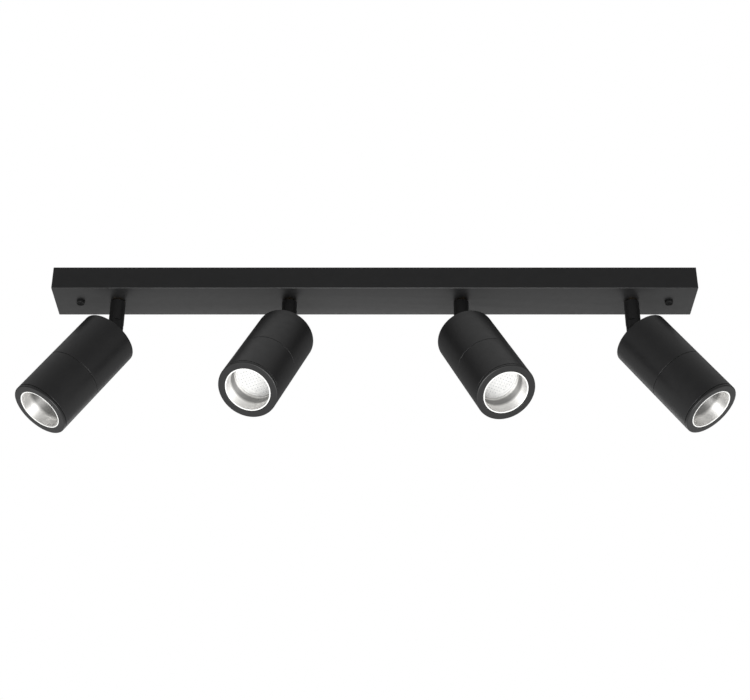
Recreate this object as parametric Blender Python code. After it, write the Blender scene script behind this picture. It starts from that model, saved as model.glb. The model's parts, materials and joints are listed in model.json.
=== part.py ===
"""Ceiling bar with four adjustable spotlights, modelled as separate solids.

Metres, +Z up. The origin lies on the ceiling plane, at the middle of the mounting bracket's
top face. +X runs along the bar and -Y is the front. Each spotlight hangs on a swivelling stem:
the empty pan_K turns about the stem's vertical axis, and the empty tilt_K, its child, turns
about the cross axis of the knuckle at the stem's end.
"""
import math

import bmesh
import bpy
from mathutils import Matrix, Vector

MM = 0.001
CLEARANCE = 0.3 * MM  # between neighbouring pieces

# Bar (the canopy that hides the wiring)
BAR_LENGTH = 600 * MM
BAR_DEPTH = 46.5 * MM
BAR_HEIGHT = 22.9 * MM
SHEET = 1.2 * MM
BAR_EDGE_RADIUS = 1.5 * MM
PAN_FLOOR = -BAR_HEIGHT + SHEET

# Mounting bracket
BRACKET_WIDTH = 34 * MM
BRACKET_SHEET = 1.5 * MM
BRACKET_HALF = 266 * MM
BRACKET_FOOT = 20 * MM
BRACKET_DROP = 16.5 * MM
WIRE_ENTRY_X = 42 * MM
WIRE_ENTRY_RADIUS = 11 * MM
KEYHOLES_X = (-90 * MM, -30 * MM, 90 * MM, 150 * MM)
KEYHOLE_LENGTH = 12 * MM
KEYHOLE_WIDTH = 4.6 * MM

# Canopy screws
CANOPY_SCREW_X = 276 * MM
SCREW_HEAD_RADIUS = 3.9 * MM
SCREW_HEAD_HEIGHT = 2.2 * MM
SCREW_RADIUS = 2 * MM
SCREW_LENGTH = 12 * MM
CROSS_WIDTH = 1 * MM
CROSS_LENGTH = 4.4 * MM
CROSS_DEPTH = 1.3 * MM

# Wiring gear
DRIVER_SIZE = (120 * MM, 30 * MM, 16 * MM)
DRIVER_X = -160 * MM
CLIP_WIDTH = 10 * MM
CLIP_SHEET = 1 * MM
CLIP_FOOT = 4 * MM
TERMINAL_SIZE = (26 * MM, 18 * MM, 12 * MM)
TERMINAL_X = 6 * MM
EARTH_SCREW_AT = (130 * MM, -10 * MM)
LEAD_RADIUS = 1 * MM
LEAD_END = -46 * MM

# Spotlights: place along the bar, direction round the stem, and angle up from straight down
STEM_XS = (-240.8 * MM, -80 * MM, 80.9 * MM, 240.7 * MM)
PAN_ANGLES = (199.8, 240.5, 303.4, 341.2)
TILT_ANGLES = (32.5, 33.7, 32.9, 33.3)

# Swivel and stem; the pivot is the knuckle's cross axis
STEM_RADIUS = 7.1 * MM
PIVOT_DROP = 32.7 * MM  # below the bar's underside
STEM_GAP = 1.2 * MM  # shows the swivel's brass collar
STEM_BORE = 3 * MM
STEM_SOCKET = 5.1 * MM
STEM_SOCKET_DEPTH = 8 * MM
FORK_SLOT = 5.6 * MM
FORK_HALF = 6 * MM  # from the stem's middle to each flat cheek
FORK_END_RADIUS = 7.3 * MM
FORK_SLOT_TOP = 7 * MM  # above the pivot
FORK_FLAT_TOP = 10 * MM  # above the pivot
NIPPLE_RADIUS = 4.8 * MM
NIPPLE_BORE = 3.6 * MM
NIPPLE_COLLAR = 6.2 * MM
NIPPLE_TOP = -13.9 * MM
NUT_RADIUS = 7.5 * MM
NUT_HEIGHT = 5.1 * MM
NUT_FLANGE_RADIUS = 8.6 * MM
NUT_FLANGE_HEIGHT = 0.9 * MM
PIVOT_SCREW_RADIUS = 2 * MM
PIVOT_HEAD_RADIUS = 3.4 * MM
PIVOT_HEAD_HEIGHT = 1.8 * MM

# Spotlight head, measured along its axis from the rear face
HEAD_RADIUS = 27.5 * MM
HEAD_LENGTH = 102.5 * MM
REAR_FACE = 10.1 * MM  # ahead of the pivot
REAR_WALL = 3 * MM
HOUSING_BORE = 25.7 * MM
SEAM = 54.3 * MM
SEAM_GAP = 0.4 * MM
SPIGOT_RADIUS = 25.4 * MM
SPIGOT_START = 44 * MM
BARREL_BORE = 24.5 * MM
EDGE = 0.8 * MM
LUG_THICKNESS = 5 * MM
LUG_HALF_WIDTH = 6 * MM
LEAD_HOLE_X = -13 * MM
LEAD_HOLE_RADIUS = 2.5 * MM
BEZEL_BACK = 99.9 * MM
BEZEL_GROOVE = 0.6 * MM
APERTURE = 21.3 * MM
BEZEL_SPIGOT = 24.2 * MM
BEZEL_SPIGOT_BORE = 22.6 * MM
BEZEL_SPIGOT_START = 79.5 * MM
REFLECTOR_RADIUS = 19.8 * MM
REFLECTOR_WALL = 1 * MM
REFLECTOR_LIP = 20.9 * MM
REFLECTOR_FRONT = 102.2 * MM
REFLECTOR_LIP_DEPTH = 1.3 * MM
CLAMPED_RADIUS = 24 * MM  # flanges held behind the bezel's spigot
FLANGE_BACK = 78.2 * MM
FLANGE_THICKNESS = 1 * MM
LENS_FRONT = 77.9 * MM
LENS_THICKNESS = 1.9 * MM
LENS_RING_TOP = 79.2 * MM
LENS_RING_INNER = 17.2 * MM
LENS_RING_OUTER = 19.3 * MM
LENS_SKIRT_BORE = 20.6 * MM
BOARD_BACK = 70.3 * MM
BOARD_RADIUS = 20 * MM
BOARD_THICKNESS = 1.6 * MM
CHIP_RADIUS = 9 * MM
CHIP_THICKNESS = 1.2 * MM
SINK_START = 50 * MM
SINK_END = 70 * MM
SINK_RADIUS = 24.1 * MM
SINK_CORE = 13 * MM
SINK_FINS = 12

# Facets round a full turn
SHELL_FACETS = 28
OPTIC_FACETS = 24
STEM_FACETS = 16
SMALL_FACETS = 12

FINISHES = {
    # colour, roughness, metallic
    "black_powder_coat": ((0.021, 0.021, 0.022), 0.48, 0.0),
    "black_screw": ((0.015, 0.015, 0.016), 0.35, 0.6),
    "zinc_steel": ((0.55, 0.56, 0.57), 0.35, 1.0),
    "brass": ((0.72, 0.52, 0.24), 0.28, 1.0),
    "satin_silver": ((0.80, 0.80, 0.78), 0.22, 1.0),
    "clear_optic": ((0.92, 0.93, 0.92), 0.15, 0.0),
    "bare_aluminium": ((0.62, 0.63, 0.64), 0.38, 1.0),
    "board_white": ((0.85, 0.85, 0.82), 0.4, 0.0),
    "driver_plastic": ((0.78, 0.79, 0.78), 0.5, 0.0),
    "terminal_plastic": ((0.70, 0.72, 0.70), 0.45, 0.0),
    "lead_sheath": ((0.60, 0.60, 0.58), 0.5, 0.0),
}


def clear_scene():
    for obj in list(bpy.data.objects):
        bpy.data.objects.remove(obj, do_unlink=True)


def finish_material(name):
    material = bpy.data.materials.get(name)
    if material:
        return material
    colour, roughness, metallic = FINISHES[name]
    material = bpy.data.materials.new(name)
    material.use_nodes = True
    shader = material.node_tree.nodes["Principled BSDF"]
    shader.inputs["Base Color"].default_value = (*colour, 1.0)
    shader.inputs["Roughness"].default_value = roughness
    shader.inputs["Metallic"].default_value = metallic
    material.diffuse_color = (*colour, 1.0)
    return material


def add_object(name, mesh, finish, parent=None):
    obj = bpy.data.objects.new(name, mesh)
    bpy.context.collection.objects.link(obj)
    if not mesh.materials:
        mesh.materials.append(finish_material(finish))
    obj.parent = parent
    return obj


def mesh_from(bm, name, smooth=True):
    bmesh.ops.recalc_face_normals(bm, faces=bm.faces)
    mesh = bpy.data.meshes.new(name)
    bm.to_mesh(mesh)
    bm.free()
    if smooth:
        mesh.shade_smooth()
        mesh.set_sharp_from_angle(angle=math.radians(35))
    return mesh


def turned(name, outline, facets, axis="Z"):
    """A solid of revolution about the axis, from a closed outline of (radius, height) points."""
    bm = bmesh.new()
    corners = [bm.verts.new((radius, 0, height)) for radius, height in outline]
    edges = [bm.edges.new((a, b)) for a, b in zip(corners, corners[1:] + corners[:1])]
    bmesh.ops.spin(
        bm,
        geom=corners + edges,
        axis=(0, 0, 1),
        cent=(0, 0, 0),
        angle=2 * math.pi,
        steps=facets,
        use_merge=True,
    )
    bmesh.ops.remove_doubles(bm, verts=bm.verts, dist=1e-6)
    on_axis = [e for e in bm.edges if not e.link_faces]
    bmesh.ops.delete(bm, geom=on_axis, context="EDGES")
    if axis == "Y":
        bmesh.ops.rotate(bm, verts=bm.verts, matrix=Matrix.Rotation(math.pi / 2, 3, "X"))
    return mesh_from(bm, name)


def extruded(name, outline, start, end, axis="Z"):
    """A prism on a closed flat outline; axis names the direction that it is pulled in."""
    bm = bmesh.new()
    place = {
        "Z": lambda a, b: (a, b, start),
        "Y": lambda a, b: (a, start, b),
        "X": lambda a, b: (start, a, b),
    }[axis]
    face = bm.faces.new([bm.verts.new(place(a, b)) for a, b in outline])
    pull = Vector([end - start if letter == axis else 0 for letter in "XYZ"])
    swept = bmesh.ops.extrude_face_region(bm, geom=[face])
    moved = [item for item in swept["geom"] if isinstance(item, bmesh.types.BMVert)]
    bmesh.ops.translate(bm, verts=moved, vec=pull)
    return mesh_from(bm, name, smooth=False)


def block(name, low, high):
    return extruded(
        name,
        [(low[0], low[1]), (high[0], low[1]), (high[0], high[1]), (low[0], high[1])],
        low[2],
        high[2],
    )


def disc_outline(radius, low, high):
    return [(0, low), (radius, low), (radius, high), (0, high)]


def tube_outline(bore, radius, low, high):
    return [(bore, low), (radius, low), (radius, high), (bore, high)]


def boolean(obj, cutter_mesh, operation="DIFFERENCE"):
    """Applies one Boolean with the exact solver and leaves a plain mesh behind."""
    cutter = bpy.data.objects.new("cutter", cutter_mesh)
    bpy.context.collection.objects.link(cutter)
    cutter.parent = obj
    modifier = obj.modifiers.new("cut", "BOOLEAN")
    modifier.operation = operation
    modifier.solver = "EXACT"
    modifier.object = cutter
    graph = bpy.context.evaluated_depsgraph_get()
    result = bpy.data.meshes.new_from_object(obj.evaluated_get(graph))
    obj.modifiers.remove(modifier)
    bpy.data.objects.remove(cutter)
    result.name = obj.data.name
    obj.data = result


def post(x, y, radius, low, high, facets=SMALL_FACETS):
    """An upright cylinder at x, y."""
    mesh = turned("post", disc_outline(radius, low, high), facets)
    mesh.transform(Matrix.Translation((x, y, 0)))
    return mesh


def rounded_tray(name, length, depth, low, high, radius):
    """A box with its upright and lower edges rounded."""
    bm = bmesh.new()
    bmesh.ops.create_cube(bm, size=1)
    bmesh.ops.scale(bm, verts=bm.verts, vec=(length, depth, high - low))
    bmesh.ops.translate(bm, verts=bm.verts, vec=(0, 0, (high + low) / 2))
    top = high - 1e-6
    soft = [e for e in bm.edges if not all(v.co.z > top for v in e.verts)]
    bmesh.ops.bevel(bm, geom=soft, offset=radius, segments=2, profile=0.5, affect="EDGES")
    return mesh_from(bm, name)


# --- bar ---------------------------------------------------------------------------------


def canopy_pan():
    pan = add_object(
        "canopy_pan",
        rounded_tray("canopy_pan", BAR_LENGTH, BAR_DEPTH, -BAR_HEIGHT, 0, BAR_EDGE_RADIUS),
        "black_powder_coat",
    )
    inside = rounded_tray(
        "inside",
        BAR_LENGTH - 2 * SHEET,
        BAR_DEPTH - 2 * SHEET,
        PAN_FLOOR,
        SHEET,
        BAR_EDGE_RADIUS - SHEET / 2,
    )
    boolean(pan, inside)
    below = -BAR_HEIGHT - SHEET
    for x in STEM_XS:
        boolean(pan, post(x, 0, NIPPLE_RADIUS + CLEARANCE + 0.1 * MM, below, PAN_FLOOR + SHEET))
    for x in (-CANOPY_SCREW_X, CANOPY_SCREW_X):
        boolean(pan, post(x, 0, SCREW_RADIUS + CLEARANCE, below, PAN_FLOOR + SHEET))


def mounting_bracket():
    """A flat strap on the ceiling, welded to a stepped foot at each end."""
    t = BRACKET_SHEET
    y = BRACKET_WIDTH / 2
    mesh = block("mounting_bracket", (-BRACKET_HALF, -y, -t), (BRACKET_HALF, y, 0))
    strap = add_object("mounting_bracket", mesh, "zinc_steel")
    boolean(strap, post(WIRE_ENTRY_X, 0, WIRE_ENTRY_RADIUS, -2 * t, t, STEM_FACETS))
    for x in KEYHOLES_X:
        a = KEYHOLE_LENGTH / 2
        b = KEYHOLE_WIDTH / 2
        boolean(strap, block("slot", (x - a, -b, -2 * t), (x + a, b, t)))


def bracket_feet():
    """Each foot steps down from under the strap to a flange that takes a canopy screw."""
    t = BRACKET_SHEET
    y = BRACKET_WIDTH / 2
    half = BRACKET_HALF
    end = BRACKET_HALF + BRACKET_FOOT
    low = -BRACKET_DROP
    top = -t - CLEARANCE
    for side, sign in (("left", -1), ("right", 1)):
        outline = [
            (half, top),
            (half, low + t),
            (end, low + t),
            (end, low),
            (half - t, low),
            (half - t, top - t),
            (half - BRACKET_FOOT, top - t),
            (half - BRACKET_FOOT, top),
        ]
        outline = [(sign * x, z) for x, z in outline]
        name = f"bracket_foot_{side}"
        foot = add_object(name, extruded(name, outline, -y, y, "Y"), "zinc_steel")
        x = sign * CANOPY_SCREW_X
        boolean(foot, post(x, 0, SCREW_RADIUS + CLEARANCE, low - t, low + 2 * t))


def canopy_screws():
    """Pan-head screws with a cross recess, put in from below."""
    head = -BAR_HEIGHT - CLEARANCE
    outline = [
        (0, head - SCREW_HEAD_HEIGHT),
        (SCREW_HEAD_RADIUS * 0.6, head - SCREW_HEAD_HEIGHT),
        (SCREW_HEAD_RADIUS * 0.92, head - SCREW_HEAD_HEIGHT * 0.6),
        (SCREW_HEAD_RADIUS, head),
        (SCREW_RADIUS, head),
        (SCREW_RADIUS, head + SCREW_LENGTH),
        (0, head + SCREW_LENGTH),
    ]
    low = head - SCREW_HEAD_HEIGHT - 1 * MM
    high = head - SCREW_HEAD_HEIGHT + CROSS_DEPTH
    a = CROSS_LENGTH / 2
    b = CROSS_WIDTH / 2
    cross = [(a, -b), (a, b), (b, b), (b, a), (-b, a), (-b, b)]
    cross += [(-x, -y) for x, y in cross]
    for side, x in (("left", -CANOPY_SCREW_X), ("right", CANOPY_SCREW_X)):
        name = f"canopy_screw_{side}"
        screw = add_object(name, turned(name, outline, SMALL_FACETS), "black_screw")
        boolean(screw, extruded("cross", cross, low, high))
        screw.location = (x, 0, 0)


def led_driver():
    length, width, height = DRIVER_SIZE
    low = PAN_FLOOR + CLEARANCE
    driver = add_object(
        "led_driver",
        rounded_tray("led_driver", length, width, low, low + height, 2 * MM),
        "driver_plastic",
    )
    driver.location = (DRIVER_X, 0, 0)


def driver_clip():
    """A bent strap over the driver, with a foot on each side."""
    inner = DRIVER_SIZE[1] / 2 + CLEARANCE
    outer = inner + CLIP_SHEET
    foot = outer + CLIP_FOOT
    floor = PAN_FLOOR + CLEARANCE
    top = floor + DRIVER_SIZE[2] + CLEARANCE
    right = [
        (outer, top + CLIP_SHEET),
        (outer, floor + CLIP_SHEET),
        (foot, floor + CLIP_SHEET),
        (foot, floor),
        (inner, floor),
        (inner, top),
    ]
    left = [(-y, z) for y, z in reversed(right)]
    start = DRIVER_X - CLIP_WIDTH / 2
    mesh = extruded("driver_clip", right + left, start, start + CLIP_WIDTH, "X")
    add_object("driver_clip", mesh, "zinc_steel")


def terminal_block():
    length, width, height = TERMINAL_SIZE
    low = PAN_FLOOR + CLEARANCE
    corner = (TERMINAL_X - length / 2, -width / 2, low)
    far_corner = (TERMINAL_X + length / 2, width / 2, low + height)
    terminal = add_object(
        "terminal_block", block("terminal_block", corner, far_corner), "terminal_plastic"
    )
    pitch = length / 3
    for i in (-1, 0, 1):
        x = TERMINAL_X + i * pitch
        boolean(terminal, post(x, 0, 2 * MM, low + height / 2, low + 2 * height))


def earth_screw():
    low = PAN_FLOOR + CLEARANCE
    outline = [
        (0, low),
        (4.5 * MM, low),
        (4.5 * MM, low + 2.4 * MM),
        (2 * MM, low + 2.4 * MM),
        (2 * MM, low + 8 * MM),
        (0, low + 8 * MM),
    ]
    screw = add_object("earth_screw", turned("earth_screw", outline, SMALL_FACETS), "brass")
    screw.location = (*EARTH_SCREW_AT, 0)


def lead(name, points):
    """One insulated lead, from the driver down through a swivel."""
    curve = bpy.data.curves.new(name, "CURVE")
    curve.dimensions = "3D"
    curve.bevel_depth = LEAD_RADIUS
    curve.bevel_resolution = 1
    curve.resolution_u = 2
    curve.use_fill_caps = True
    spline = curve.splines.new("BEZIER")
    spline.bezier_points.add(len(points) - 1)
    for point, place in zip(spline.bezier_points, points):
        point.co = place
    for point in spline.bezier_points:
        point.handle_left_type = "AUTO"
        point.handle_right_type = "AUTO"
    add_object(name, curve, "lead_sheath")


def leads():
    """The leads leave the driver's right end, follow the bar, and drop down their stems."""
    start = DRIVER_X + DRIVER_SIZE[0] / 2 + LEAD_RADIUS
    level = PAN_FLOOR + 9 * MM
    turn_back = [(5, -10.5), (6, -14), (2, -17), (-10, -17.5), (-20, -17.5)]
    # distances from the driver's end, and across the bar, in millimetres
    first_steps = {
        1: [(0, -9), *turn_back],
        2: [(0, -3), (3, -3)],
        3: [(0, 3), (8, 10), (18, 12), (28, 12)],
        4: [(0, 9), (8, 15), (18, 17), (28, 17)],
    }
    for k, stem_x in enumerate(STEM_XS, 1):
        points = [(start + x * MM, y * MM, level) for x, y in first_steps[k]]
        side = math.copysign(1, stem_x - start)
        if k != 2:
            lane = points[-1][1]
            points += [(stem_x - side * reach * MM, lane, level) for reach in (30, 18)]
        points += [
            (stem_x - side * 2.5 * MM, points[-1][1] * 0.2, NIPPLE_TOP + 4.5 * MM),
            (stem_x, 0, NIPPLE_TOP - 1 * MM),
            (stem_x, 0, (LEAD_END + NIPPLE_TOP) / 2),
            (stem_x, 0, LEAD_END),
        ]
        lead(f"lead_{k}", points)


# --- swivel and stem, with the pan empty at the bar's underside ---------------------------------


def nipple_mesh():
    """Hollow threaded nipple with the collar that shows between bar and stem."""
    top = NIPPLE_TOP + BAR_HEIGHT
    collar = -CLEARANCE
    shoulder = -STEM_GAP + CLEARANCE
    bottom = -STEM_GAP - STEM_SOCKET_DEPTH + CLEARANCE
    outline = [
        (NIPPLE_BORE, bottom),
        (NIPPLE_RADIUS, bottom),
        (NIPPLE_RADIUS, shoulder),
        (NIPPLE_COLLAR, shoulder),
        (NIPPLE_COLLAR, collar),
        (NIPPLE_RADIUS, collar),
        (NIPPLE_RADIUS, top),
        (NIPPLE_BORE, top),
    ]
    return turned("swivel_nipple", outline, SMALL_FACETS)


def nut_mesh():
    """A flanged nut that turns with the stem, just clear of the pan's floor."""
    low = SHEET + CLEARANCE
    high = low + NUT_HEIGHT
    bore = NIPPLE_RADIUS + CLEARANCE
    wall = bore + 2 * MM
    outline = [
        (bore, low),
        (NUT_FLANGE_RADIUS, low),
        (NUT_FLANGE_RADIUS, low + NUT_FLANGE_HEIGHT),
        (wall, low + NUT_FLANGE_HEIGHT),
        (wall, high),
        (bore, high),
    ]
    nut = add_object("nut", turned("swivel_nut", outline, SMALL_FACETS), "brass")
    hexagon = tube_outline(bore + 1 * MM, NUT_RADIUS, low + NUT_FLANGE_HEIGHT / 2, high)
    boolean(nut, turned("hexagon", hexagon, 6), "UNION")
    mesh = nut.data
    bpy.data.objects.remove(nut)
    return mesh


def stem_mesh():
    """A round stem whose lower end is a fork with flat cheeks and a rounded end."""
    top = -STEM_GAP
    bottom = -PIVOT_DROP - FORK_END_RADIUS - 1 * MM
    outline = [
        (STEM_BORE, bottom),
        (STEM_RADIUS, bottom),
        (STEM_RADIUS, top - 0.4 * MM),
        (STEM_RADIUS - 0.4 * MM, top),
        (STEM_SOCKET, top),
        (STEM_SOCKET, top - STEM_SOCKET_DEPTH),
        (STEM_BORE, top - STEM_SOCKET_DEPTH),
    ]
    stem = add_object("stem", turned("stem", outline, STEM_FACETS), "black_powder_coat")
    arc = [math.pi * (1 + i / 10) for i in range(11)]
    end = [(FORK_END_RADIUS * math.cos(a), FORK_END_RADIUS * math.sin(a) - PIVOT_DROP) for a in arc]
    side_view = [*end, (FORK_END_RADIUS, 1 * MM), (-FORK_END_RADIUS, 1 * MM)]
    width = STEM_RADIUS + 1 * MM
    boolean(stem, extruded("side", side_view, -width, width, "Y"), "INTERSECT")
    half = FORK_SLOT / 2
    slot_top = -PIVOT_DROP + FORK_SLOT_TOP
    slot = block("slot", (-width, -half, bottom - 1 * MM), (width, half, slot_top))
    boolean(stem, slot)
    flat_top = -PIVOT_DROP + FORK_FLAT_TOP
    for side in (-1, 1):
        inner, outer = sorted((side * FORK_HALF, side * (STEM_RADIUS + 1 * MM)))
        flat = block("flat", (-width, inner, bottom - 1 * MM), (width, outer, flat_top))
        boolean(stem, flat)
    boolean(stem, cross_hole(PIVOT_SCREW_RADIUS + CLEARANCE, width))
    mesh = stem.data
    bpy.data.objects.remove(stem)
    return mesh


def cross_hole(radius, half_length):
    """A cylinder along Y through the pivot, in the pan empty's frame."""
    mesh = turned("hole", disc_outline(radius, -half_length, half_length), SMALL_FACETS, "Y")
    mesh.transform(Matrix.Translation((0, 0, -PIVOT_DROP)))
    return mesh


def pivot_screw_mesh():
    start = -FORK_HALF - CLEARANCE
    outline = [
        (0, start - PIVOT_HEAD_HEIGHT),
        (PIVOT_HEAD_RADIUS * 0.8, start - PIVOT_HEAD_HEIGHT),
        (PIVOT_HEAD_RADIUS, start - PIVOT_HEAD_HEIGHT * 0.6),
        (PIVOT_HEAD_RADIUS, start),
        (PIVOT_SCREW_RADIUS, start),
        (PIVOT_SCREW_RADIUS, FORK_HALF),
        (0, FORK_HALF),
    ]
    mesh = turned("pivot_screw", outline, SMALL_FACETS, "Y")
    mesh.transform(Matrix.Translation((0, 0, -PIVOT_DROP)))
    return mesh


# --- spotlight head, with the tilt empty at the pivot and the light leaving along -Z ------------


def turned_head(name, outline, facets=SHELL_FACETS):
    """A turned piece whose outline is (radius, distance from the rear face)."""
    return turned(name, [(radius, -REAR_FACE - s) for radius, s in outline], facets)


def rear_housing_mesh():
    """A cup with the knuckle's lug behind it."""
    front = SEAM - SEAM_GAP / 2
    outline = [
        (0, 0),
        (HEAD_RADIUS - EDGE, 0),
        (HEAD_RADIUS, EDGE),
        (HEAD_RADIUS, front),
        (HOUSING_BORE, front),
        (HOUSING_BORE, REAR_WALL),
        (0, REAR_WALL),
    ]
    housing = add_object("cup", turned_head("rear_housing", outline), "black_powder_coat")
    arc = [math.pi * i / 8 for i in range(9)]
    end = [(LUG_HALF_WIDTH * math.cos(a), LUG_HALF_WIDTH * math.sin(a)) for a in arc]
    root = -REAR_FACE - REAR_WALL / 2
    side_view = [*end, (-LUG_HALF_WIDTH, root), (LUG_HALF_WIDTH, root)]
    half = LUG_THICKNESS / 2
    boolean(housing, extruded("lug", side_view, -half, half, "Y"), "UNION")
    hole = turned(
        "hole", disc_outline(PIVOT_SCREW_RADIUS + CLEARANCE, -half * 2, half * 2), SMALL_FACETS, "Y"
    )
    boolean(housing, hole)
    low = -REAR_FACE - 2 * REAR_WALL
    boolean(housing, post(LEAD_HOLE_X, 0, LEAD_HOLE_RADIUS, low, -REAR_FACE + REAR_WALL))
    mesh = housing.data
    bpy.data.objects.remove(housing)
    return mesh


def front_barrel_mesh():
    outline = [
        (BARREL_BORE, SPIGOT_START),
        (SPIGOT_RADIUS, SPIGOT_START),
        (SPIGOT_RADIUS, SEAM + SEAM_GAP / 2),
        (HEAD_RADIUS, SEAM + SEAM_GAP / 2),
        (HEAD_RADIUS, BEZEL_BACK - BEZEL_GROOVE),
        (BARREL_BORE, BEZEL_BACK - BEZEL_GROOVE),
    ]
    return turned_head("front_barrel", outline)


def bezel_mesh():
    outline = [
        (BEZEL_SPIGOT_BORE, BEZEL_SPIGOT_START),
        (BEZEL_SPIGOT, BEZEL_SPIGOT_START),
        (BEZEL_SPIGOT, BEZEL_BACK),
        (HEAD_RADIUS, BEZEL_BACK),
        (HEAD_RADIUS, HEAD_LENGTH - EDGE),
        (HEAD_RADIUS - EDGE, HEAD_LENGTH),
        (APERTURE, HEAD_LENGTH),
        (APERTURE, BEZEL_BACK),
        (BEZEL_SPIGOT_BORE, BEZEL_BACK),
    ]
    return turned_head("bezel_ring", outline)


def reflector_mesh():
    outer = REFLECTOR_RADIUS + REFLECTOR_WALL
    flange_front = FLANGE_BACK + FLANGE_THICKNESS
    outline = [
        (REFLECTOR_RADIUS, FLANGE_BACK),
        (CLAMPED_RADIUS, FLANGE_BACK),
        (CLAMPED_RADIUS, flange_front),
        (outer, flange_front),
        (outer, REFLECTOR_FRONT),
        (REFLECTOR_LIP - 0.2 * MM, REFLECTOR_FRONT),
        (REFLECTOR_RADIUS, REFLECTOR_FRONT - REFLECTOR_LIP_DEPTH),
    ]
    return turned_head("reflector", outline, OPTIC_FACETS)


def lens_mesh():
    """A plate with a raised ring in front and a skirt round the board behind."""
    back = LENS_FRONT - LENS_THICKNESS
    outline = [
        (0, back),
        (LENS_SKIRT_BORE, back),
        (LENS_SKIRT_BORE, BOARD_BACK),
        (CLAMPED_RADIUS, BOARD_BACK),
        (CLAMPED_RADIUS, LENS_FRONT),
        (LENS_RING_OUTER, LENS_FRONT),
        (LENS_RING_OUTER, LENS_RING_TOP),
        (LENS_RING_INNER, LENS_FRONT),
        (0, LENS_FRONT),
    ]
    return turned_head("lens_plate", outline, OPTIC_FACETS)


def board_mesh():
    front = BOARD_BACK + BOARD_THICKNESS
    outline = [
        (0, BOARD_BACK),
        (BOARD_RADIUS, BOARD_BACK),
        (BOARD_RADIUS, front),
        (CHIP_RADIUS, front),
        (CHIP_RADIUS, front + CHIP_THICKNESS),
        (0, front + CHIP_THICKNESS),
    ]
    return turned_head("led_board", outline, SMALL_FACETS * 2)


def heat_sink_mesh():
    """A core with square-ended fins round it."""
    fin_corners = [
        (SINK_CORE, -0.3),
        (SINK_RADIUS, -0.15),
        (SINK_RADIUS, 0.15),
        (SINK_CORE, 0.3),
    ]
    outline = []
    step = 2 * math.pi / SINK_FINS
    for fin in range(SINK_FINS):
        for radius, part in fin_corners:
            angle = (fin + part) * step
            outline.append((radius * math.cos(angle), radius * math.sin(angle)))
    return extruded("heat_sink", outline, -REAR_FACE - SINK_END, -REAR_FACE - SINK_START)


def add_spotlights():
    stem_pieces = {
        "swivel_nipple": (nipple_mesh(), "brass"),
        "swivel_nut": (nut_mesh(), "brass"),
        "stem": (stem_mesh(), "black_powder_coat"),
        "pivot_screw": (pivot_screw_mesh(), "black_screw"),
    }
    head_pieces = {
        "rear_housing": (rear_housing_mesh(), "black_powder_coat"),
        "front_barrel": (front_barrel_mesh(), "black_powder_coat"),
        "bezel_ring": (bezel_mesh(), "black_powder_coat"),
        "reflector": (reflector_mesh(), "satin_silver"),
        "lens_plate": (lens_mesh(), "clear_optic"),
        "led_board": (board_mesh(), "board_white"),
        "heat_sink": (heat_sink_mesh(), "bare_aluminium"),
    }
    for k, (x, pan, tilt) in enumerate(zip(STEM_XS, PAN_ANGLES, TILT_ANGLES), 1):
        pan_empty = bpy.data.objects.new(f"pan_{k}", None)
        bpy.context.collection.objects.link(pan_empty)
        pan_empty.location = (x, 0, -BAR_HEIGHT)
        pan_empty.rotation_euler = (0, 0, math.radians(pan))
        tilt_empty = bpy.data.objects.new(f"tilt_{k}", None)
        bpy.context.collection.objects.link(tilt_empty)
        tilt_empty.parent = pan_empty
        tilt_empty.location = (0, 0, -PIVOT_DROP)
        tilt_empty.rotation_euler = (0, -math.radians(tilt), 0)
        for name, (mesh, finish) in stem_pieces.items():
            add_object(f"{name}_{k}", mesh, finish, pan_empty)
        for name, (mesh, finish) in head_pieces.items():
            add_object(f"{name}_{k}", mesh, finish, tilt_empty)


def main():
    clear_scene()
    canopy_pan()
    mounting_bracket()
    bracket_feet()
    canopy_screws()
    led_driver()
    driver_clip()
    terminal_block()
    earth_screw()
    leads()
    add_spotlights()


main()
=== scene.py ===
"""Ceiling bar with adjustable spotlights: finished pieces, materials, studio and camera.

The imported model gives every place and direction. Each operator makes one group of pieces, and
main() calls them in order. Metres, +Z up into the ceiling, -Y towards the front.
"""
import json
import math

import bmesh
import bpy
from bpy.props import FloatProperty, FloatVectorProperty, IntProperty, PointerProperty
from mathutils import Matrix, Vector


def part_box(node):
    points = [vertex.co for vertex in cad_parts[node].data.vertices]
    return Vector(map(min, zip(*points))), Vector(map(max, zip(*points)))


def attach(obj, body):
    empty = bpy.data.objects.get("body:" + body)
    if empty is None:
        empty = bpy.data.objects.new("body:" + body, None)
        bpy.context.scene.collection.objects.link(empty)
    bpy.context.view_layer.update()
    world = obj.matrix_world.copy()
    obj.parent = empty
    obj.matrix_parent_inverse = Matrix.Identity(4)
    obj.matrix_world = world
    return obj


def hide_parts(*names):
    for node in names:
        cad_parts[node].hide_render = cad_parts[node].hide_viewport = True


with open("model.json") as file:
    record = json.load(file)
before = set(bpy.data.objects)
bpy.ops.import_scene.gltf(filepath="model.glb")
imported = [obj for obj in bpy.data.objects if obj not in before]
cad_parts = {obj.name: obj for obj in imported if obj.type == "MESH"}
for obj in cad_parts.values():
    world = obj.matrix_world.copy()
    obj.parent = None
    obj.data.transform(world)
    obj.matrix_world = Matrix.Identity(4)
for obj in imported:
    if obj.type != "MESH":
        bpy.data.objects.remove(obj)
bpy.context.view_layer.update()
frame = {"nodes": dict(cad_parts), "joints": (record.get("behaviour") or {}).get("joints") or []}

bl_info = {
    "name": "Spotlight Bar",
    "version": (1, 0, 0),
    "blender": (4, 5, 0),
    "location": "View3D > Sidebar > Spotlight Bar",
    "description": "Builds the finished pieces of a ceiling bar with adjustable spotlights",
    "category": "Object",
}

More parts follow.
